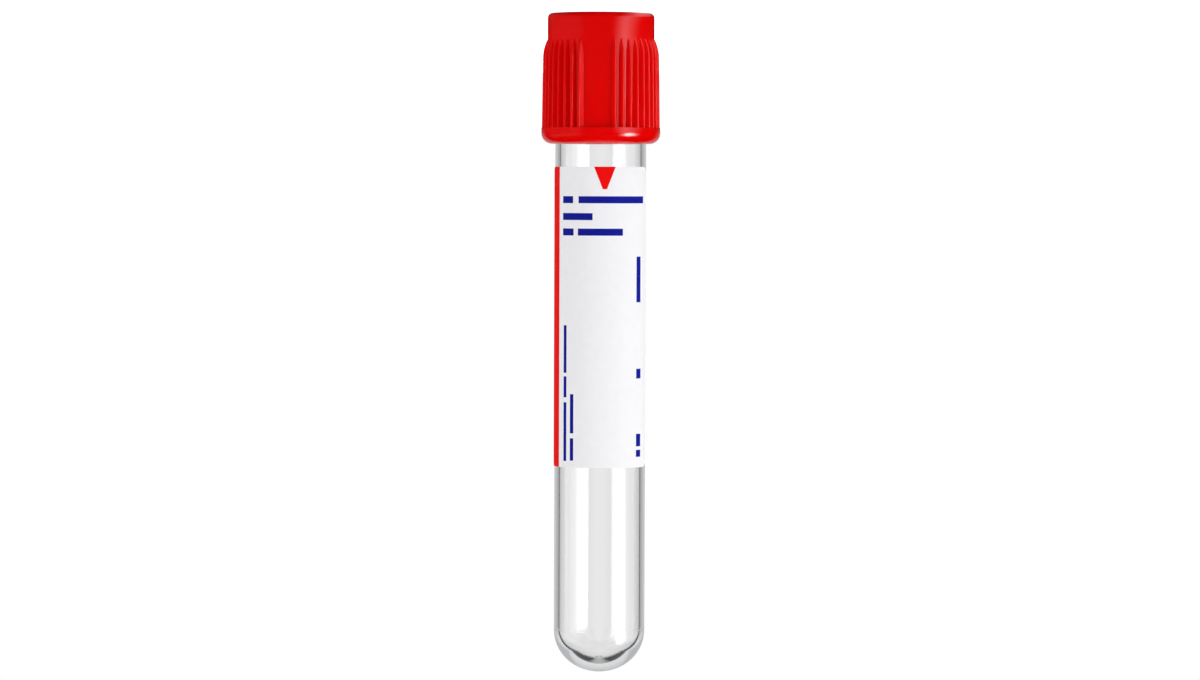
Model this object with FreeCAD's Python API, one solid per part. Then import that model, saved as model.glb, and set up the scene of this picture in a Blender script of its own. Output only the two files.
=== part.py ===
import FreeCAD, Part

import math
import os

from FreeCAD import Vector

# An evacuated blood collection tube with its closure. Millimetres.
#
# Each piece is first drawn upright: the tube's axis is the Z axis, the round
# end touches z = 0, and the label faces -Y. A round-ended tube can't stand that
# way up, and it rolls on its side, so at the end one placement turns all the
# pieces upside down together: the tube stands on its closure's flat top, with
# the axis still at x = 0, y = 0 and the label still facing -Y.

# --- Driving dimensions ---------------------------------------------------

# Tube: clear PET, injection moulded in one piece.
tube_radius = 6.5
tube_wall = 0.75
tube_length = 87.3
tube_base = 1.3
end_bulge = 0.5
end_flatness = 0.45
cavity_end_bulge = 0.5
cavity_end_flatness = 0.9
rim_round = 0.2
gate_radius = 0.7
gate_depth = 0.15

# Stopper: halobutyl rubber, moulded in one piece. The plug fills the bore, the
# flange lies on the rim, and the shield's collar sits round the neck.
plug_clearance = 0.03
plug_depth = 8.0
plug_lead_in = 0.7
plug_relief = 0.25
plug_band = 1.8
plug_recess_wall = 2.52
plug_recess_depth = 4.6
plug_recess_round = 1.6
flange_inset = 0.05
flange_height = 1.8
neck_depth = 0.77
head_overhang = 0.85
head_height = 1.4
stopper_edge_round = 0.3
needle_well_lip = 2.4
needle_well_depth = 1.7

# Shield: red polypropylene, moulded in one piece.
shield_height = 18.65
skirt_clearance = 0.35
skirt_wall = 0.8
skirt_lead_in = 0.25
collar_height = 1.3
neck_clearance = 0.05
head_clearance = 0.2
mouth_depth = 2.7
mouth_wall = 1.35
mouth_chamfer = 0.4
shield_edge_round = 0.65
grip_flange_width = 0.87
grip_flange_height = 2.35
grip_flange_corner = 1.5
grip_flange_edge = 0.25

# Grip ribs of the shield, in groups between smooth panels. Angles in degrees.
panel_count = 3
panel_angle = 28.0
panel_turn = -4.0
ribs_in_group = 11
rib_start_drop = 3.7
rib_full_drop = 6.4
rib_height_top = 0.68
rib_height_base = 0.81
rib_crest_round = 0.22
rib_flank_angle = 22.0
rib_embed = 0.09

# Label: paper, stuck to the tube's wall. Angles in degrees from the front.
label_thickness = 0.1
label_adhesive = 0.02
label_gap = 3.3
label_length = 42.9
label_start_angle = -88.0
label_end_angle = 79.0
label_corner = 1.1

# --- Sizes that follow ----------------------------------------------------

bore_radius = tube_radius - tube_wall
plug_radius = bore_radius - plug_clearance
plug_recess_radius = plug_radius - plug_recess_wall
flange_radius = tube_radius - flange_inset
neck_radius = plug_radius - neck_depth
head_radius = neck_radius + head_overhang
needle_well_radius = head_radius - needle_well_lip
flange_top = tube_length + flange_height
neck_top = flange_top + collar_height
head_top = neck_top + head_height

skirt_radius = tube_radius + skirt_clearance
shield_radius = skirt_radius + skirt_wall
collar_radius = neck_radius + neck_clearance
head_seat_radius = head_radius + head_clearance
mouth_radius = shield_radius - mouth_wall
mouth_bottom = head_top + mouth_radius - head_seat_radius
shield_top = head_top + mouth_depth
shield_bottom = shield_top - shield_height
grip_flange_radius = shield_radius + grip_flange_width
grip_flange_top = shield_bottom + grip_flange_height
rib_crest_top_radius = shield_radius + rib_height_top
rib_crest_base_radius = shield_radius + rib_height_base

label_radius = tube_radius + label_adhesive
label_top = shield_bottom - label_gap
label_bottom = label_top - label_length

AXIS = Vector(0, 0, 1)
ORIGIN = Vector(0, 0, 0)
FRONT_ANGLE = -90.0
NEAR = 1e-4


# --- Drawing helpers ------------------------------------------------------

def at(radius, height):
    """A point of an outline, in the half plane that is turned round the axis."""
    return Vector(radius, 0, height)


def straight(points):
    """Straight edges from each point to the next."""
    edges = []
    for start, end in zip(points, points[1:]):
        edges.append(Part.makeLine(start, end))
    return edges


def turned(edges):
    """The solid that a closed outline makes when it is turned round the axis."""
    face = Part.Face(Part.Wire(Part.__sortEdges__(edges)))
    return face.revolve(ORIGIN, AXIS, 360)


def circle_edges(solid, radius, height):
    """The circular edges of a turned solid at one radius and height."""
    found = []
    for edge in solid.Edges:
        if edge.Degenerated or not isinstance(edge.Curve, Part.Circle):
            continue
        same_radius = abs(edge.Curve.Radius - radius) < NEAR
        same_height = abs(edge.Curve.Center.z - height) < NEAR
        if same_radius and same_height:
            found.append(edge)
    return found


def round_end(radius, bulge, flatness, lowest, start_radius=0.0):
    """A round end's crown and knuckle arcs, with the points where they start and end.

    The crown starts at start_radius from the axis.
    """
    crown = radius + bulge
    depth = radius - flatness
    knuckle = (crown ** 2 - radius ** 2 - (crown - depth) ** 2) / (2 * bulge)
    crown_centre = at(0, lowest + crown)
    knuckle_centre = at(radius - knuckle, lowest + depth)
    start_angle = math.asin(start_radius / crown)
    joint_angle = math.atan2(radius - knuckle, crown - depth)

    def on_crown(angle):
        return crown_centre + at(crown * math.sin(angle), -crown * math.cos(angle))

    def on_knuckle(angle):
        return knuckle_centre + at(knuckle * math.sin(angle), -knuckle * math.cos(angle))

    start = on_crown(start_angle)
    joint = on_crown(joint_angle)
    end = on_knuckle(math.pi / 2)
    crown_arc = Part.Arc(start, on_crown((start_angle + joint_angle) / 2), joint)
    knuckle_arc = Part.Arc(joint, on_knuckle((joint_angle + math.pi / 2) / 2), end)
    return [crown_arc.toShape(), knuckle_arc.toShape()], start, end


def dish(centre_height, edge):
    """Half the section of a shallow dish or dome: an arc from the axis to its edge."""
    rise = edge.z - centre_height
    radius = (edge.x ** 2 + rise ** 2) / (2 * rise)
    half_angle = math.asin(edge.x / abs(radius)) / 2
    middle = at(abs(radius) * math.sin(half_angle), centre_height + radius * (1 - math.cos(half_angle)))
    return Part.Arc(at(0, centre_height), middle, edge).toShape()


# --- Pieces ---------------------------------------------------------------

def make_tube():
    """One-piece tube: straight wall, round closed end, soft rim, gate mark."""
    outer_arcs, gate_edge, outer_end = round_end(
        tube_radius, end_bulge, end_flatness, 0, gate_radius)
    inner_arcs, cavity_bottom, inner_end = round_end(
        bore_radius, cavity_end_bulge, cavity_end_flatness, tube_base)
    wall_and_rim = straight([
        outer_end,
        at(tube_radius, tube_length),
        at(bore_radius, tube_length),
        inner_end,
    ])
    gate_mark = dish(gate_depth, gate_edge)
    base_line = straight([cavity_bottom, at(0, gate_depth)])
    solid = turned(outer_arcs + wall_and_rim + inner_arcs + base_line + [gate_mark])
    rim_edges = circle_edges(solid, tube_radius, tube_length)
    rim_edges += circle_edges(solid, bore_radius, tube_length)
    return solid.makeFillet(rim_round, rim_edges)


def make_stopper():
    """Rubber stopper: plug with two sealing bands, flange, neck and head."""
    plug_bottom = tube_length - plug_depth
    waist_radius = plug_radius - plug_relief
    recess_top = plug_bottom + plug_recess_depth
    well_bottom = head_top - needle_well_depth
    well_edge = at(needle_well_radius, head_top)
    outline = straight([
        at(0, well_bottom),
        at(0, recess_top),
        at(plug_recess_radius, recess_top),
        at(plug_recess_radius, plug_bottom),
        at(plug_radius - plug_lead_in, plug_bottom),
        at(plug_radius, plug_bottom + plug_lead_in),
        at(plug_radius, plug_bottom + plug_lead_in + plug_band),
        at(waist_radius, plug_bottom + plug_lead_in + plug_band + plug_relief),
        at(waist_radius, tube_length - plug_band - plug_relief),
        at(plug_radius, tube_length - plug_band),
        at(plug_radius, tube_length),
        at(flange_radius, tube_length),
        at(flange_radius, flange_top),
        at(neck_radius, flange_top),
        at(neck_radius, neck_top),
        at(head_radius, neck_top),
        at(head_radius, head_top),
        well_edge,
    ])
    solid = turned(outline + [dish(well_bottom, well_edge)])
    soft_edges = circle_edges(solid, head_radius, head_top)
    soft_edges += circle_edges(solid, flange_radius, flange_top)
    solid = solid.makeFillet(stopper_edge_round, soft_edges)
    recess_edges = circle_edges(solid, plug_recess_radius, recess_top)
    return solid.makeFillet(plug_recess_round, recess_edges)


def rib_path():
    """The line of a rib's crest, from inside the top ring down to the flange."""
    flare_drop = rib_full_drop - rib_start_drop
    flare_rise = rib_crest_top_radius - shield_radius
    flare_radius = (flare_drop ** 2 + flare_rise ** 2) / (2 * flare_rise)
    flare_centre = at(rib_crest_top_radius - flare_radius, shield_top - rib_full_drop)
    start_angle = math.asin(flare_drop / flare_radius) * 1.06

    def on_flare(angle):
        return flare_centre + at(flare_radius * math.cos(angle), flare_radius * math.sin(angle))

    flare = Part.Arc(on_flare(start_angle), on_flare(start_angle / 2), on_flare(0)).toShape()
    base = at(rib_crest_base_radius, grip_flange_top - grip_flange_height / 4)
    return Part.Wire([flare, Part.makeLine(on_flare(0), base)])


def rib_section(crest):
    """A rib's level section: two flanks that meet in a rounded crest."""
    flank = math.radians(rib_flank_angle)
    centre = crest - Vector(rib_crest_round, 0, 0)
    touch_x = centre.x + rib_crest_round * math.sin(flank)
    touch_y = rib_crest_round * math.cos(flank)
    root_x = crest.x - rib_height_base - rib_embed
    root_y = touch_y + (touch_x - root_x) * math.tan(flank)
    right_touch = Vector(touch_x, touch_y, crest.z)
    left_touch = Vector(touch_x, -touch_y, crest.z)
    right_root = Vector(root_x, root_y, crest.z)
    left_root = Vector(root_x, -root_y, crest.z)
    crest_arc = Part.Arc(right_touch, crest, left_touch).toShape()
    return Part.Wire([crest_arc] + straight([left_touch, left_root, right_root, right_touch]))


def make_rib():
    """One grip rib, on the +X side: the level section carried along the path."""
    path = rib_path()
    sweep = Part.BRepOffsetAPI.MakePipeShell(path)
    sweep.setTrihedronMode(ORIGIN, AXIS)
    sweep.add(rib_section(path.Vertexes[0].Point))
    sweep.build()
    sweep.makeSolid()
    return sweep.shape()


def rib_angles():
    """The ribs' directions, in degrees from the front towards the right."""
    group_angle = 360.0 / panel_count
    pitch = (group_angle - panel_angle) / ribs_in_group
    angles = []
    for group in range(panel_count):
        start = panel_turn + group * group_angle + panel_angle / 2
        for rib in range(ribs_in_group):
            angles.append(start + (rib + 0.5) * pitch)
    return angles


def make_shield():
    """Ribbed shield: top ring, inner collar, skirt and grip flange."""
    outline = straight([
        at(mouth_radius, shield_top),
        at(shield_radius, shield_top),
        at(shield_radius, grip_flange_top),
        at(grip_flange_radius, grip_flange_top),
        at(grip_flange_radius, shield_bottom),
        at(skirt_radius, shield_bottom),
        at(skirt_radius, flange_top),
        at(collar_radius, flange_top),
        at(collar_radius, neck_top),
        at(head_seat_radius, neck_top),
        at(head_seat_radius, head_top),
        at(mouth_radius, mouth_bottom),
        at(mouth_radius, shield_top),
    ])
    solid = turned(outline)
    solid = solid.makeFillet(
        grip_flange_corner, circle_edges(solid, grip_flange_radius, shield_bottom))
    solid = solid.makeFillet(
        grip_flange_edge, circle_edges(solid, grip_flange_radius, grip_flange_top))
    solid = solid.makeFillet(
        shield_edge_round, circle_edges(solid, shield_radius, shield_top))
    solid = solid.makeChamfer(
        mouth_chamfer, circle_edges(solid, mouth_radius, shield_top))
    solid = solid.makeChamfer(
        skirt_lead_in, circle_edges(solid, skirt_radius, shield_bottom))
    ribs = []
    for angle in rib_angles():
        rib = make_rib()
        rib.rotate(ORIGIN, AXIS, FRONT_ANGLE + angle)
        ribs.append(rib)
    return solid.multiFuse(ribs).removeSplitter()


def corner_offcut(along, up):
    """What is trimmed off a label's corner: a block less a round bar.

    It is drawn on the +X side, with the bar's axis along X. along and up are 1
    or -1, towards the sheet's outer edges.
    """
    size = 2 * label_corner
    depth = 2 * label_radius
    block = Part.makeBox(depth, size, size, Vector(0, min(0, along) * size, min(0, up) * size))
    bar = Part.makeCylinder(label_corner, depth, ORIGIN, Vector(1, 0, 0))
    return block.cut(bar)


def make_label():
    """Paper label, curved round the front of the tube, with round corners."""
    outline = straight([
        at(label_radius, label_bottom),
        at(label_radius + label_thickness, label_bottom),
        at(label_radius + label_thickness, label_top),
        at(label_radius, label_top),
        at(label_radius, label_bottom),
    ])
    profile = Part.Face(Part.Wire(outline))
    profile.rotate(ORIGIN, AXIS, FRONT_ANGLE + label_start_angle)
    sheet = profile.revolve(ORIGIN, AXIS, label_end_angle - label_start_angle)
    corner_angle = math.degrees(label_corner / label_radius)
    offcuts = []
    for along, end_angle in ((-1, label_start_angle), (1, label_end_angle)):
        for up, end_height in ((-1, label_bottom), (1, label_top)):
            offcut = corner_offcut(along, up)
            offcut.translate(Vector(0, 0, end_height - up * label_corner))
            offcut.rotate(ORIGIN, AXIS, FRONT_ANGLE + end_angle - along * corner_angle)
            offcuts.append(offcut)
    return sheet.cut(offcuts)


# --- Standing the tube on its closure -------------------------------------

def standing_placement():
    """Turns the upright pieces upside down, with the label still to the front."""
    turn = FreeCAD.Rotation(Vector(0, 1, 0), 180)
    return FreeCAD.Placement(Vector(0, 0, shield_top), turn)


def main():
    pieces = {
        "tube": make_tube(),
        "stopper": make_stopper(),
        "shield": make_shield(),
        "label": make_label(),
    }
    placement = standing_placement()
    os.makedirs("parts", exist_ok=True)
    for name, shape in pieces.items():
        shape.Placement = placement.multiply(shape.Placement)
        shape.exportStep(os.path.join("parts", name + ".step"))
        box = shape.BoundBox
        print(name, len(shape.Solids), shape.isValid(), round(shape.Volume, 2))
        print("   ", [round(value, 3) for value in
                      (box.XMin, box.YMin, box.ZMin, box.XMax, box.YMax, box.ZMax)])


main()
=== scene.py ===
import math
from types import SimpleNamespace

import bpy
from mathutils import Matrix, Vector


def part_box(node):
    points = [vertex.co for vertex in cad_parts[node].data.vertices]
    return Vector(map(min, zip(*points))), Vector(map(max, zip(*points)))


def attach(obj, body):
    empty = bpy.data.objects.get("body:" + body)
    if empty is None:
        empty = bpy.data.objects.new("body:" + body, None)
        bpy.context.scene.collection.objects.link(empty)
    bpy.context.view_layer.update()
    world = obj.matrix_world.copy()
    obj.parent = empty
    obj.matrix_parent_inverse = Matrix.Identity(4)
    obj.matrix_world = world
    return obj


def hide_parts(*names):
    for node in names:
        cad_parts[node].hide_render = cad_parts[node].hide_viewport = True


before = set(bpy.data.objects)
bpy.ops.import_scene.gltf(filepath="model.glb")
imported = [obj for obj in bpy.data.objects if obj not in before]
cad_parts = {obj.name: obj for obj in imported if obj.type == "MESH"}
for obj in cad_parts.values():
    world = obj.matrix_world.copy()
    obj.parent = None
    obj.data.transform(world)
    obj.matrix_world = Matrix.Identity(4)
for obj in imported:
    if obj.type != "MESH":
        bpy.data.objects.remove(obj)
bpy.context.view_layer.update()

# --- The tube -------------------------------------------------------------
# The tube itself: clear PET, injection moulded in one piece with a round
# closed end. It stands head down in its closure, so its rim is at the bottom
# and its round end at the top. Its outline is drawn once and turned.

MM = 0.001
MERGE = 0.5e-6

tube_low, tube_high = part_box("tube")
tube_radius = tube_high.x
tube_rim = tube_low.z
tube_wall = 0.75 * MM
bore_radius = tube_radius - tube_wall
gate_radius = 0.7 * MM
gate_depth = 0.15 * MM
tube_base = 1.3 * MM
rim_round = 0.2 * MM
crown_radius = 7.0 * MM
crown_depth = 6.05 * MM
cavity_crown_radius = 6.25 * MM
cavity_crown_depth = 4.85 * MM
gate_rise = crown_radius - math.sqrt(crown_radius ** 2 - gate_radius ** 2)
dish_depth = gate_depth - gate_rise
dish_radius = (gate_radius ** 2 + dish_depth ** 2) / (2 * dish_depth)
dish_angle = math.asin(gate_radius / dish_radius)
tube_end = tube_high.z + gate_rise
cavity_end = tube_end - tube_base
parting_line_width = 0.16 * MM
parting_line_height = 0.012 * MM
parting_line_slope = 0.3 * parting_line_width
turned_steps = 192
crown_steps = 26
knuckle_steps = 22
rim_steps = 6
dish_steps = 8
crease_angle = math.radians(25)

# A narrow ring beside each end of a straight wall keeps the wall's shading straight.
hold = 0.05 * MM


def at(radius, height):
    """A point of an outline, on the piece's right-hand side."""
    return Vector((radius, 0, height))


def start_outline(name, point):
    """Starts a turned piece as one point, in edit mode."""
    bpy.ops.object.select_all(action="DESELECT")
    bpy.ops.mesh.primitive_plane_add(size=MM, location=(0, 0, 0))
    piece = bpy.context.object
    piece.name = name
    piece.data.name = name
    bpy.ops.object.mode_set(mode="EDIT")
    bpy.ops.mesh.merge(type="CENTER")
    bpy.ops.transform.translate(value=point)
    return piece


def draw_line(points):
    """Draws straight on from the first point to each of the others."""
    for start, end in zip(points, points[1:]):
        bpy.ops.mesh.extrude_region_move(TRANSFORM_OT_translate={"value": end - start})


def draw_arc(centre, angle, steps):
    """Draws on in an arc round its centre, clockwise as seen from the front."""
    bpy.ops.mesh.spin(steps=steps, angle=-angle, center=centre, axis=(0, 1, 0))


def turn_outline(piece):
    """Turns the outline all the way round, closes the seam and leaves edit mode."""
    bpy.ops.mesh.select_all(action="SELECT")
    bpy.ops.mesh.spin(steps=turned_steps, angle=math.tau, center=(0, 0, 0), axis=(0, 0, 1))
    bpy.ops.mesh.select_all(action="SELECT")
    bpy.ops.mesh.remove_doubles(threshold=MERGE)
    bpy.ops.mesh.normals_make_consistent(inside=False)
    bpy.ops.object.mode_set(mode="OBJECT")
    bpy.ops.object.shade_smooth_by_angle(angle=crease_angle)


def round_end(radius, crown, depth, top):
    """The two arc centres of a round end, and the angle at which its arcs meet."""
    knuckle_radius = (crown ** 2 - radius ** 2 - (crown - depth) ** 2) / (2 * (crown - radius))
    return SimpleNamespace(
        crown_centre=at(0, top - crown),
        knuckle_centre=at(radius - knuckle_radius, top - depth),
        joint_angle=math.atan2(radius - knuckle_radius, crown - depth),
    )


outside = round_end(tube_radius, crown_radius, crown_depth, tube_end)
inside = round_end(bore_radius, cavity_crown_radius, cavity_crown_depth, cavity_end)
tube = start_outline("tube_moulding", at(0, tube_end - gate_depth))
draw_arc(at(0, tube_end - gate_depth + dish_radius), -dish_angle, dish_steps)
draw_arc(outside.crown_centre, outside.joint_angle - math.asin(gate_radius / crown_radius), crown_steps)
draw_arc(outside.knuckle_centre, math.pi / 2 - outside.joint_angle, knuckle_steps)
wall_top = tube_end - crown_depth
line_top = wall_top - parting_line_width
line_bottom = line_top - parting_line_width
draw_line([
    at(tube_radius, wall_top),
    at(tube_radius, line_top),
    at(tube_radius + parting_line_height, line_top - parting_line_slope),
    at(tube_radius + parting_line_height, line_bottom + parting_line_slope),
    at(tube_radius, line_bottom),
    at(tube_radius, line_bottom - hold),
    at(tube_radius, tube_rim + rim_round + hold),
    at(tube_radius, tube_rim + rim_round),
])
draw_arc(at(tube_radius - rim_round, tube_rim + rim_round), math.pi / 2, rim_steps)
draw_line([
    at(tube_radius - rim_round, tube_rim),
    at(bore_radius + rim_round, tube_rim),
])
draw_arc(at(bore_radius + rim_round, tube_rim + rim_round), math.pi / 2, rim_steps)
draw_line([
    at(bore_radius, tube_rim + rim_round),
    at(bore_radius, tube_rim + rim_round + hold),
    at(bore_radius, cavity_end - cavity_crown_depth - hold),
    at(bore_radius, cavity_end - cavity_crown_depth),
])
draw_arc(inside.knuckle_centre, inside.joint_angle - math.pi / 2, knuckle_steps)
draw_arc(inside.crown_centre, -inside.joint_angle, crown_steps)
turn_outline(tube)


def linear(hex_colour):
    """An sRGB hex colour as linear red, green, blue and alpha."""
    values = []
    for start in (1, 3, 5):
        value = int(hex_colour[start:start + 2], 16) / 255
        values.append(value / 12.92 if value <= 0.04045 else ((value + 0.055) / 1.055) ** 2.4)
    return (*values, 1.0)


def new_material(name):
    """An empty material, its node tree and its output node."""
    material = bpy.data.materials.new(name)
    material.use_nodes = True
    tree = material.node_tree
    tree.nodes.clear()
    return material, tree, tree.nodes.new("ShaderNodeOutputMaterial")


def add_node(tree, kind, settings, links):
    """Adds a node, sets its options and inputs, and links inputs to nodes or outputs."""
    node = tree.nodes.new("ShaderNode" + kind)
    for key, value in settings.items():
        if isinstance(key, int) or key in node.inputs:
            node.inputs[key].default_value = value
        else:
            setattr(node, key, value)
    for key, source in links.items():
        is_node = isinstance(source, bpy.types.Node)
        tree.links.new(source.outputs[0] if is_node else source, node.inputs[key])
    return node


# Clear PET, as it leaves a polished mould: glass-like, with the very slightly
# uneven skin of a moulding. Its walls show only by what they bend and mirror,
# and where light is caught in a wall, mirrored three times or more, a painted
# glow in the mean tone of the surround stands in for it.
ripple_width = 4.2 * MM
ripple_height = 0.1 * MM
caught_bounces = 2.5
clear_pet, tree, output = new_material("clear_pet_moulded")
place = add_node(tree, "TexCoord", {}, {})
ripples = add_node(tree, "TexNoise", {"Scale": 1 / ripple_width, "Detail": 2.0},
                   {"Vector": place.outputs["Object"]})
skin = add_node(tree, "Bump", {"Strength": 0.02, "Distance": ripple_height}, {"Height": ripples})
plastic = add_node(tree, "BsdfPrincipled", {
    "Base Color": linear("#FFFFFF"),
    "Roughness": 0.0,
    "IOR": 1.57,
    "Transmission Weight": 1.0,
}, {"Normal": skin})
see_through = add_node(tree, "BsdfTransparent", {"Color": linear("#F9FAFB")}, {})
light_path = add_node(tree, "LightPath", {}, {})
caught = add_node(tree, "Math", {"operation": "GREATER_THAN", 1: caught_bounces},
                  {0: light_path.outputs["Glossy Depth"]})
# Painted light: a flat glow in the surround's mean tone stands in for light caught in the wall.
painted_mean_glow = add_node(tree, "Emission", {"Color": linear("#C2C4C9")}, {})
wall = add_node(tree, "MixShader", {}, {0: caught, 1: plastic, 2: painted_mean_glow})
shader = add_node(tree, "MixShader", {},
                  {0: light_path.outputs["Is Shadow Ray"], 1: wall, 2: see_through})
tree.links.new(shader.outputs["Shader"], output.inputs["Surface"])
tube.data.materials.append(clear_pet)
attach(tube, "tube_body")
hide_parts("tube")

# --- The label ------------------------------------------------------------
# The label: coated white paper, die cut with round corners, printed with a
# red edge and pointer and blue marks, and stuck round the tube's front.
# It is made flat, as the real one is, and then bent to the tube.

label_low, label_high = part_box("label")
label_thickness = 0.1 * MM
label_inner_radius = 6.52 * MM
label_start_angle = math.radians(-88)
label_end_angle = math.radians(79)
label_angle = label_end_angle - label_start_angle
label_height = label_high.z - label_low.z
label_width = label_angle * label_inner_radius
label_corner = 1.1 * MM
label_corner_steps = 10
label_strips = 72
label_crease_angle = math.radians(30)

bpy.ops.object.select_all(action="DESELECT")
bpy.ops.mesh.primitive_plane_add(size=1, location=(0, 0, 0), rotation=(math.pi / 2, 0, 0))
label = bpy.context.object
label.name = "label_sheet"
label.data.name = "label_sheet"
label.scale = (label_width, label_height, 1)
bpy.ops.object.transform_apply(location=True, rotation=True, scale=True)
bpy.ops.object.mode_set(mode="EDIT")
bpy.ops.mesh.select_all(action="SELECT")
bpy.ops.mesh.bevel(offset=label_corner, segments=label_corner_steps, affect="VERTICES")
for strip in range(1, label_strips):
    bpy.ops.mesh.select_all(action="SELECT")
    cut = label_width * (strip / label_strips - 0.5)
    bpy.ops.mesh.bisect(plane_co=(cut, 0, 0), plane_no=(1, 0, 0))
bpy.ops.object.mode_set(mode="OBJECT")
label_paper, tree, output = new_material("coated_label_paper")
label.data.materials.append(label_paper)
label_back, back_tree, back_output = new_material("label_paper_back")
label.data.materials.append(label_back)
bend = label.modifiers.new("wrap", "SIMPLE_DEFORM")
bend.deform_method = "BEND"
bend.deform_axis = "Z"
bend.angle = label_angle
paper_thickness = label.modifiers.new("paper_thickness", "SOLIDIFY")
paper_thickness.thickness = label_thickness
paper_thickness.offset = 1
paper_thickness.material_offset = 1
paper_thickness.material_offset_rim = 1
for modifier in ("wrap", "paper_thickness"):
    bpy.ops.object.modifier_apply(modifier=modifier)
label.location = (0, -label_inner_radius, (label_low.z + label_high.z) / 2)
bpy.ops.object.transform_apply(location=True)
label.rotation_euler.z = -(label_start_angle + label_end_angle) / 2
bpy.ops.object.transform_apply(rotation=True)
bpy.ops.object.shade_smooth_by_angle(angle=label_crease_angle)

# Coated label paper, offset printed: a smooth, barely glossy white with very
# faint fibre clouds, and flat areas of red and blue ink with sharp edges.
PAPER_WHITE = linear("#F3F3F5")
PAPER_CLOUD = linear("#EDEDF0")
INK_RED = linear("#EE0404")
INK_BLUE = linear("#0B1590")

red_band_width = 3.0 * MM
pointer_middle = 10.62 * MM
pointer_height = 3.2 * MM
pointer_top_half = 1.54 * MM
pointer_tip_half = 0.3 * MM

# The blue marks in millimetres: middle along, middle down, half length, half height.
blue_marks = [
    (16.35, 16.05, 0.5, 3.26),
    (4.9, 4.7, 1.0, 0.5),
    (12.2, 4.7, 5.4, 0.5),
    (6.4, 7.1, 2.5, 0.5),
    (4.95, 9.3, 1.05, 0.5),
    (10.0, 9.3, 3.3, 0.5),
    (4.45, 26.0, 0.3, 3.4),
    (4.45, 31.4, 0.3, 1.5),
    (4.45, 37.8, 0.3, 4.2),
    (5.75, 35.2, 0.3, 2.8),
    (5.75, 40.3, 0.3, 1.6),
    (16.4, 29.5, 0.55, 0.7),
    (16.4, 39.0, 0.55, 0.9),
    (16.4, 40.9, 0.55, 0.5),
]

sheet_object = add_node(tree, "TexCoord", {}, {})
sheet_place = add_node(tree, "UVMap", {"uv_map": label.data.uv_layers[0].name}, {})
sheet_split = add_node(tree, "SeparateXYZ", {}, {"Vector": sheet_place})
along = add_node(tree, "MapRange", {"To Min": label_width, "To Max": 0.0, "clamp": False},
                 {"Value": sheet_split.outputs["X"]})
down = add_node(tree, "MapRange", {"To Min": 0.0, "To Max": label_height, "clamp": False},
                {"Value": sheet_split.outputs["Y"]})


def bar(middle_along, middle_down, half_along, half_down):
    """The mask of one printed bar with its sides along and down the label."""
    inside_along = add_node(tree, "Math", {"operation": "COMPARE", 1: middle_along, 2: half_along},
                            {0: along})
    inside_down = add_node(tree, "Math", {"operation": "COMPARE", 1: middle_down, 2: half_down},
                           {0: down})
    return add_node(tree, "Math", {"operation": "MULTIPLY"}, {0: inside_along, 1: inside_down})


# Real fibres are 0.02 mm wide, too fine to show, so they are drawn coarser.
cloud_width = 1.1 * MM
fibre_width = 0.17 * MM
fibre_height = 0.01 * MM
clouds = add_node(tree, "TexNoise", {"Scale": 1 / cloud_width, "Detail": 4.0},
                  {"Vector": sheet_object.outputs["Object"]})
printed = add_node(tree, "MixRGB", {"Color1": PAPER_WHITE, "Color2": PAPER_CLOUD}, {"Fac": clouds})
for mark in blue_marks:
    mask = bar(*[size * MM for size in mark])
    printed = add_node(tree, "MixRGB", {"Color2": INK_BLUE}, {"Fac": mask, "Color1": printed})
band = bar(red_band_width / 2, label_height / 2, red_band_width / 2, label_height)
printed = add_node(tree, "MixRGB", {"Color2": INK_RED}, {"Fac": band, "Color1": printed})
pointer_half = add_node(tree, "MapRange", {
    "From Max": pointer_height, "To Min": pointer_top_half, "To Max": pointer_tip_half,
}, {"Value": down})
pointer_side = add_node(tree, "Math", {"operation": "COMPARE", 1: pointer_middle},
                        {0: along, 2: pointer_half})
pointer_end = add_node(tree, "Math", {"operation": "LESS_THAN", 1: pointer_height}, {0: down})
pointer = add_node(tree, "Math", {"operation": "MULTIPLY"}, {0: pointer_side, 1: pointer_end})
printed = add_node(tree, "MixRGB", {"Color2": INK_RED}, {"Fac": pointer, "Color1": printed})

fibres = add_node(tree, "TexNoise", {"Scale": 1 / fibre_width, "Detail": 3.0},
                  {"Vector": sheet_object.outputs["Object"]})
relief = add_node(tree, "Bump", {"Strength": 0.25, "Distance": fibre_height}, {"Height": fibres})
paper_skin = add_node(tree, "BsdfPrincipled", {
    "Roughness": 0.55,
    "IOR": 1.45,
    "Specular IOR Level": 0.12,
}, {"Base Color": printed, "Normal": relief})
tree.links.new(paper_skin.outputs["BSDF"], output.inputs["Surface"])

# The back of the same paper, uncoated, seen through the tube's wall: plain white.
back_place = add_node(back_tree, "TexCoord", {}, {})
back_clouds = add_node(back_tree, "TexNoise", {"Scale": 1 / cloud_width, "Detail": 4.0},
                       {"Vector": back_place.outputs["Object"]})
back_white = add_node(back_tree, "MixRGB", {"Color1": PAPER_WHITE, "Color2": PAPER_CLOUD},
                      {"Fac": back_clouds})
back_skin = add_node(back_tree, "BsdfPrincipled", {"Roughness": 0.8, "IOR": 1.45},
                     {"Base Color": back_white})
back_tree.links.new(back_skin.outputs["BSDF"], back_output.inputs["Surface"])
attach(label, "tube_body")
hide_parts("label")

# --- The stopper ----------------------------------------------------------
# The stopper: dark red halobutyl rubber, compression moulded in one piece. Its
# plug is pressed into the tube and its flange lies on the rim.

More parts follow.
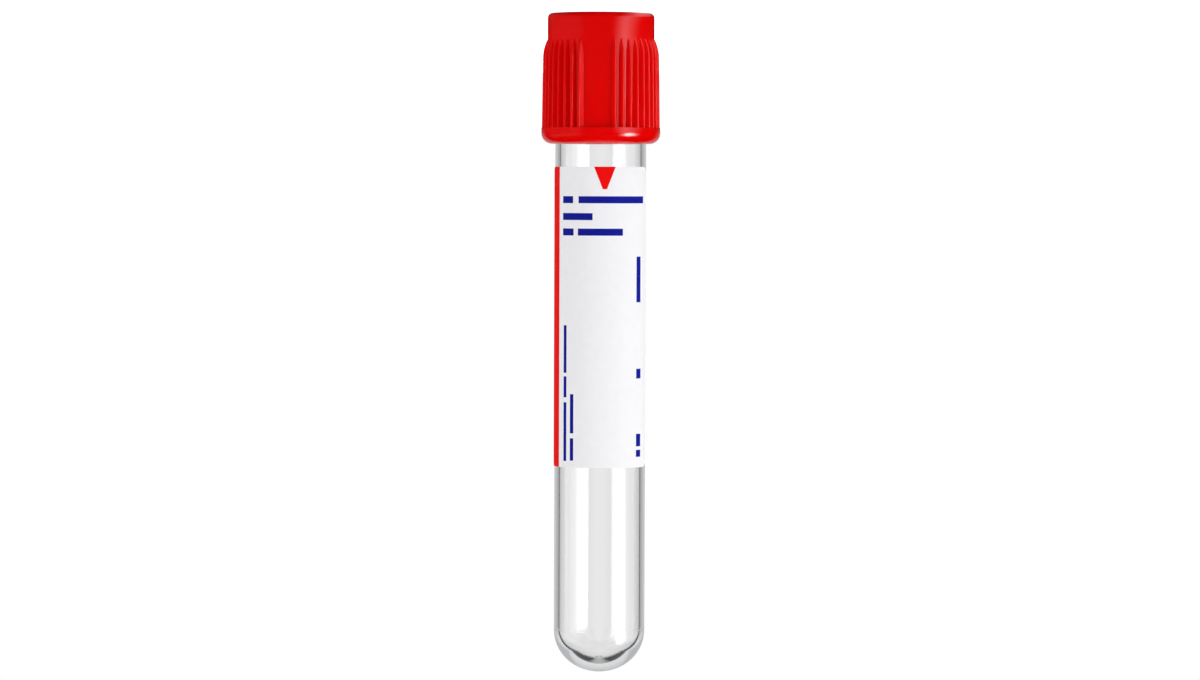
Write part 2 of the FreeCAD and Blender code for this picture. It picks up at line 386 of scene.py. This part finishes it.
# Butyl rubber, as it leaves its mould: matt, with a faint lighter bloom and a
# fine grain, which is drawn coarser than the real one so that it shows.
bloom_width = 2.0 * MM
rubber_grain_width = 0.2 * MM
rubber_grain_height = 0.02 * MM
butyl_rubber, tree, output = new_material("butyl_rubber_moulded")
place = add_node(tree, "TexCoord", {}, {})
bloom = add_node(tree, "TexNoise", {"Scale": 1 / bloom_width, "Detail": 4.0},
                 {"Vector": place.outputs["Object"]})
rubber = add_node(tree, "MixRGB", {"Color1": linear("#6E1512"), "Color2": linear("#7C2420")},
                  {"Fac": bloom})
grain = add_node(tree, "TexNoise", {"Scale": 1 / rubber_grain_width, "Detail": 2.0},
                 {"Vector": place.outputs["Object"]})
relief = add_node(tree, "Bump", {"Strength": 0.4, "Distance": rubber_grain_height}, {"Height": grain})
rubber_skin = add_node(tree, "BsdfPrincipled", {"Roughness": 0.7, "IOR": 1.52},
                       {"Base Color": rubber, "Normal": relief})
tree.links.new(rubber_skin.outputs["BSDF"], output.inputs["Surface"])
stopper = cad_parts["stopper"]
stopper.material_slots[0].material = butyl_rubber

# --- The shield -----------------------------------------------------------
# The shield: bright red polypropylene, injection moulded in one piece, with
# three groups of grip ribs. Its collar is snapped round the stopper's neck.

# Red polypropylene, as it leaves a polished mould: glossy, and light goes a
# little way into it. Its red has faint flow marks, and its grain is drawn
# coarser than the real one so that it shows.
flow_width = 5.5 * MM
shield_grain_width = 0.4 * MM
shield_grain_height = 0.02 * MM
light_depth = 0.8 * MM
red_polypropylene, tree, output = new_material("polypropylene_moulded_red")
place = add_node(tree, "TexCoord", {}, {})
flow = add_node(tree, "TexNoise", {"Scale": 1 / flow_width, "Detail": 3.0},
                {"Vector": place.outputs["Object"]})
red = add_node(tree, "MixRGB", {"Color1": linear("#E20000"), "Color2": linear("#EA0100")},
               {"Fac": flow})
polish = add_node(tree, "MapRange", {"To Min": 0.1, "To Max": 0.14}, {"Value": flow})
grain = add_node(tree, "TexNoise", {"Scale": 1 / shield_grain_width, "Detail": 2.0},
                 {"Vector": place.outputs["Object"]})
relief = add_node(tree, "Bump", {"Strength": 0.06, "Distance": shield_grain_height}, {"Height": grain})
shield_skin = add_node(tree, "BsdfPrincipled", {
    "IOR": 1.49,
    "Specular IOR Level": 0.75,
    "Subsurface Weight": 0.35,
    "Subsurface Radius": (1.0, 0.25, 0.25),
    "Subsurface Scale": light_depth,
}, {"Base Color": red, "Roughness": polish, "Normal": relief})
tree.links.new(shield_skin.outputs["BSDF"], output.inputs["Surface"])
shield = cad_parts["shield"]
shield.material_slots[0].material = red_polypropylene

# --- The studio -----------------------------------------------------------
# A plain white floor, which shows the camera only the tube's soft shadow, a white
# surround, and three tall softboxes that stand on the floor round the tube. For
# gloss and for what is seen through the plastic, the floor carries painted light.

floor_size = 3.0
bpy.ops.object.select_all(action="DESELECT")
bpy.ops.mesh.primitive_plane_add(size=floor_size, location=(0, 0, 0))
floor = bpy.context.object
floor.name = "studio_floor"
floor_paint, tree, output = new_material("studio_floor_white")
light_path = add_node(tree, "LightPath", {}, {})
matt = add_node(tree, "BsdfDiffuse", {"Color": linear("#E6E6E6")}, {})
glow = add_node(tree, "Emission", {"Color": linear("#FFFFFF"), "Strength": 0.8}, {})
lifted = add_node(tree, "AddShader", {}, {0: matt, 1: glow})
# Painted shade: the floor as gloss sees it, much darker than its real white.
painted_dark_mirror = add_node(tree, "BsdfDiffuse", {"Color": linear("#161616")}, {})
place = add_node(tree, "TexCoord", {}, {})
split = add_node(tree, "SeparateXYZ", {}, {"Vector": place.outputs["Object"]})

# The bearing of a place from the part: 0 at the front, and rising towards +X.
forward = add_node(tree, "Math", {"operation": "MULTIPLY", 1: -1.0}, {0: split.outputs["Y"]})
bearing = add_node(tree, "Math", {"operation": "ARCTAN2"}, {0: split.outputs["X"], 1: forward})
turn = add_node(tree, "MapRange", {"From Min": -math.pi, "From Max": math.pi}, {"Value": bearing})


def set_greys(ramp, stops):
    """Gives a colour ramp its stops: places from 0 to 1, and the grey at each."""
    elements = ramp.color_ramp.elements
    while len(elements) < len(stops):
        elements.new(1.0)
    for element, (position, grey) in zip(elements, stops):
        element.position = position
        element.color = (grey, grey, grey, 1.0)


# Clear plastic shows its edges only where it bends something dark into view, so
# through it the floor is painted with light: white panels with soft dark gaps of
# painted shade between them. The surround has such gaps and panels too.
THROUGH_LEVEL = 0.85
FLOOR_PANEL_TURN = math.radians(45)
folded = add_node(tree, "Math", {"operation": "PINGPONG", 1: FLOOR_PANEL_TURN / 2}, {0: bearing})
off_panel = add_node(tree, "Math", {"operation": "DIVIDE", 1: FLOOR_PANEL_TURN / 2}, {0: folded})
# Painted light and shade, seen only through the plastic: white panels and dark gaps round the part.
painted_panel_gaps = add_node(tree, "ValToRGB", {}, {"Fac": off_panel})
set_greys(painted_panel_gaps, [(0.0, 1.0), (0.45, 1.0), (0.75, 0.6), (1.0, 0.12)])
painted_through_level = add_node(tree, "Math", {"operation": "MULTIPLY", 1: THROUGH_LEVEL}, {0: painted_panel_gaps})
painted_through_glow = add_node(tree, "Emission", {"Color": linear("#FFFFFF")}, {"Strength": painted_through_level})

# The gloss of the low closure mirrors the floor, so for gloss the floor is painted
# dark, with glowing painted pools of light where the softboxes stand: a strong one
# and a weak one, each weaker close to the part than out by its softbox.
KEY_POOL_LEVEL = 2.3
NEAR_POOL_LEVEL = 1.25
NEAR_POOL = 0.12
FAR_POOL = 0.2


def turned(degrees):
    """A bearing in degrees as a part of the whole turn."""
    return degrees / 360 + 0.5


painted_light_pools = add_node(tree, "ValToRGB", {}, {"Fac": turn})
set_greys(painted_light_pools, [
    (turned(-88), 0.0), (turned(-78), 0.14), (turned(-68), 0.42), (turned(-58), 0.78), (turned(-51), 1.0),
    (turned(-45), 0.9), (turned(-39), 0.55), (turned(-32), 0.22), (turned(-24), 0.0),
    (turned(36), 0.0), (turned(44), 0.055), (turned(70), 0.05), (turned(125), 0.035), (turned(140), 0.0),
])
reach = add_node(tree, "VectorMath", {"operation": "LENGTH"}, {0: place.outputs["Object"]})
pool_reach = add_node(tree, "MapRange", {
    "From Min": NEAR_POOL, "From Max": FAR_POOL, "To Min": NEAR_POOL_LEVEL, "To Max": KEY_POOL_LEVEL,
}, {"Value": reach.outputs["Value"]})
pool_level = add_node(tree, "Math", {"operation": "MULTIPLY"}, {0: painted_light_pools, 1: pool_reach})
# The painted pools glow only in the gloss, as the closure's painted highlights.
painted_pool_glow = add_node(tree, "Emission", {"Color": linear("#FFFFFF")}, {"Strength": pool_level})
painted_floor_reflection = add_node(tree, "AddShader", {}, {0: painted_dark_mirror, 1: painted_pool_glow})
unseen = add_node(tree, "MixShader", {}, {0: light_path.outputs["Is Glossy Ray"], 1: matt, 2: painted_floor_reflection})
hidden = add_node(tree, "MixShader", {},
                  {0: light_path.outputs["Is Transmission Ray"], 1: unseen, 2: painted_through_glow})
shader = add_node(tree, "MixShader", {}, {0: light_path.outputs["Is Camera Ray"], 1: hidden, 2: lifted})
tree.links.new(shader.outputs["Shader"], output.inputs["Surface"])
floor.data.materials.append(floor_paint)

world = bpy.data.worlds.new("studio_surround")
world.use_nodes = True
bpy.context.scene.world = world
tree = world.node_tree
tree.nodes.clear()
output = tree.nodes.new("ShaderNodeOutputWorld")
light_path = add_node(tree, "LightPath", {}, {})
place = add_node(tree, "TexCoord", {}, {})
split = add_node(tree, "SeparateXYZ", {}, {"Vector": place.outputs["Generated"]})
forward = add_node(tree, "Math", {"operation": "MULTIPLY", 1: -1.0}, {0: split.outputs["Y"]})
bearing = add_node(tree, "Math", {"operation": "ARCTAN2"}, {0: split.outputs["X"], 1: forward})
turn = add_node(tree, "MapRange", {"From Min": -math.pi, "From Max": math.pi}, {"Value": bearing})

# What clear plastic bends into view: a white panel on each of four sides, with
# a dark ring round it, and less dark low down between two panels.
WALL_PANEL_TURN = math.radians(90)
across = add_node(tree, "Math", {"operation": "ABSOLUTE"}, {0: split.outputs["X"]})
onward = add_node(tree, "Math", {"operation": "ABSOLUTE"}, {0: split.outputs["Y"]})
on_axis = add_node(tree, "Math", {"operation": "MAXIMUM"}, {0: across, 1: onward})
rings = add_node(tree, "ValToRGB", {}, {"Fac": on_axis})
set_greys(rings, [(0.0, 0.5), (0.3, 0.3), (0.45, 0.01), (0.7, 0.01), (0.766, 1.0), (1.0, 1.0)])
folded = add_node(tree, "Math", {"operation": "PINGPONG", 1: WALL_PANEL_TURN / 2}, {0: bearing})
off_panel = add_node(tree, "Math", {"operation": "DIVIDE", 1: WALL_PANEL_TURN / 2}, {0: folded})
overhead = add_node(tree, "ValToRGB", {}, {"Fac": off_panel})
set_greys(overhead, [(0.0, 0.55), (0.12, 0.45), (0.25, 0.0)])
rings = add_node(tree, "Math", {"operation": "MAXIMUM"}, {0: rings, 1: overhead})
walls = add_node(tree, "ValToRGB", {}, {"Fac": off_panel})
set_greys(walls, [(0.0, 1.0), (0.22, 1.0), (0.442, 0.8), (0.67, 0.62), (0.89, 0.5), (1.0, 0.5)])
fade = add_node(tree, "MapRange", {"From Min": 0.1, "From Max": 0.4}, {"Value": split.outputs["Z"]})
walls = add_node(tree, "Mix", {"data_type": "FLOAT", "B": 1.0}, {"Factor": fade, "A": walls})
panels = add_node(tree, "Math", {"operation": "MULTIPLY"}, {0: rings, 1: walls})

# The two softboxes at the sides, which the tube's wall bends into view as well.
KEY_PANEL_LEVEL = 4.0
FILL_PANEL_LEVEL = 2.4
key_panel = add_node(tree, "ValToRGB", {}, {"Fac": turn})
set_greys(key_panel, [
    (turned(-78), 0.0), (turned(-68), 0.3), (turned(-64), 1.0), (turned(-34), 1.0), (turned(-32), 0.0),
])
key_height = add_node(tree, "ValToRGB", {}, {"Fac": split.outputs["Z"]})
set_greys(key_height, [(0.0, 1.0), (0.3, 1.0), (0.6, 0.3), (0.7, 0.0)])
key_lit = add_node(tree, "Math", {"operation": "MULTIPLY"}, {0: key_panel, 1: key_height})
key_lit = add_node(tree, "Math", {"operation": "MULTIPLY", 1: KEY_PANEL_LEVEL}, {0: key_lit})
fill_panel = add_node(tree, "ValToRGB", {}, {"Fac": turn})
set_greys(fill_panel, [(turned(39), 0.0), (turned(43), 1.0), (turned(66), 0.9), (turned(90), 0.0)])
fill_height = add_node(tree, "ValToRGB", {}, {"Fac": split.outputs["Z"]})
set_greys(fill_height, [(0.0, 1.0), (0.12, 1.0), (0.2, 0.3), (0.45, 0.0)])
fill_lit = add_node(tree, "Math", {"operation": "MULTIPLY"}, {0: fill_panel, 1: fill_height})
lit = add_node(tree, "Math", {"operation": "MULTIPLY_ADD", 1: FILL_PANEL_LEVEL}, {0: fill_lit, 2: key_lit})
through = add_node(tree, "Math", {"operation": "MULTIPLY_ADD", 1: THROUGH_LEVEL}, {0: panels, 2: lit})

# What gloss mirrors above the floor: the same panels, faint and only behind the
# part, the key softbox, and the fill softbox, which is faint too.
KEY_MIRROR_LEVEL = 20.0
BEHIND_LEVEL = 0.45
behind = add_node(tree, "MapRange", {
    "interpolation_type": "SMOOTHSTEP",
    "From Min": 0.6, "From Max": 0.97, "To Min": 0.0, "To Max": BEHIND_LEVEL,
}, {"Value": split.outputs["Y"]})
mirror_turn = add_node(tree, "ValToRGB", {}, {"Fac": turn})
set_greys(mirror_turn, [
    (turned(-84), 0.0), (turned(-76), 0.1), (turned(-71), 0.3), (turned(-65), 0.7), (turned(-58), 1.0),
    (turned(-52), 0.8), (turned(-48), 0.4), (turned(-44), 0.13), (turned(-36), 0.0),
    (turned(38), 0.0), (turned(46), 0.008), (turned(110), 0.008), (turned(125), 0.0),
])
mirror_height = add_node(tree, "ValToRGB", {}, {"Fac": split.outputs["Z"]})
set_greys(mirror_height, [(0.03, 0.0), (0.2, 0.7), (0.3, 1.0), (0.42, 0.7), (0.6, 0.0)])
mirror = add_node(tree, "Math", {"operation": "MULTIPLY"}, {0: mirror_turn, 1: mirror_height})
mirror = add_node(tree, "Math", {"operation": "MULTIPLY", 1: KEY_MIRROR_LEVEL}, {0: mirror})
glossy = add_node(tree, "Math", {"operation": "MULTIPLY_ADD"}, {0: panels, 1: behind, 2: mirror})

# Other light from the surround is plain, and the camera sees it white.
AMBIENT = 0.4
strength = add_node(tree, "Mix", {"data_type": "FLOAT", "A": AMBIENT},
                    {"Factor": light_path.outputs["Is Glossy Ray"], "B": glossy})
strength = add_node(tree, "Mix", {"data_type": "FLOAT"},
                    {"Factor": light_path.outputs["Is Transmission Ray"], "A": strength, "B": through})
strength = add_node(tree, "Mix", {"data_type": "FLOAT", "B": 1.0},
                    {"Factor": light_path.outputs["Is Camera Ray"], "A": strength})
background = add_node(tree, "Background", {"Color": linear("#FFFFFF")}, {"Strength": strength})
tree.links.new(background.outputs["Background"], output.inputs["Surface"])

softbox_distance = 0.35
softbox_height = 0.42


def softbox(name, angle, half_angle, radiance):
    """A tall softbox that stands on the floor and lights the tube, unseen in its gloss."""
    data = bpy.data.lights.new(name, "AREA")
    data.shape = "RECTANGLE"
    data.size = 2 * softbox_distance * math.tan(half_angle)
    data.size_y = softbox_height
    data.energy = radiance * math.pi * data.size * data.size_y
    lamp = bpy.data.objects.new(name, data)
    bpy.context.collection.objects.link(lamp)
    lamp.location = (
        softbox_distance * math.sin(angle),
        -softbox_distance * math.cos(angle),
        softbox_height / 2,
    )
    lamp.rotation_euler = (math.pi / 2, 0, angle)
    lamp.visible_camera = False
    lamp.visible_transmission = False
    lamp.visible_glossy = False


softbox("key_softbox", math.radians(-54), math.radians(21), 2.9)
softbox("fill_softbox", math.radians(66), math.radians(26), 1.6)
softbox("back_softbox", math.radians(180), math.radians(16), 6.5)

# The camera looks from the front, a little upwards, and is rolled by half a
# turn, so that it sees the tube hang from its closure.
view_distance = 0.65
eye_height = 0.0242
frame_width = 0.1722
aim_height = 0.0468
aside = 0.00009
lean = math.radians(-0.2)
film_width = 36.0
camera_data = bpy.data.cameras.new("camera")
camera_data.sensor_width = film_width
camera_data.lens = film_width * view_distance / frame_width
camera_data.clip_start = 0.01
camera_data.clip_end = 20.0
camera = bpy.data.objects.new("camera", camera_data)
bpy.context.collection.objects.link(camera)
camera.location = (aside, -view_distance, eye_height)
tilt = math.atan2(aim_height - eye_height, view_distance)
camera.rotation_euler = (math.pi / 2 - tilt, math.pi + lean, 0)
bpy.context.scene.camera = camera

bpy.context.scene.view_settings.view_transform = "Standard"
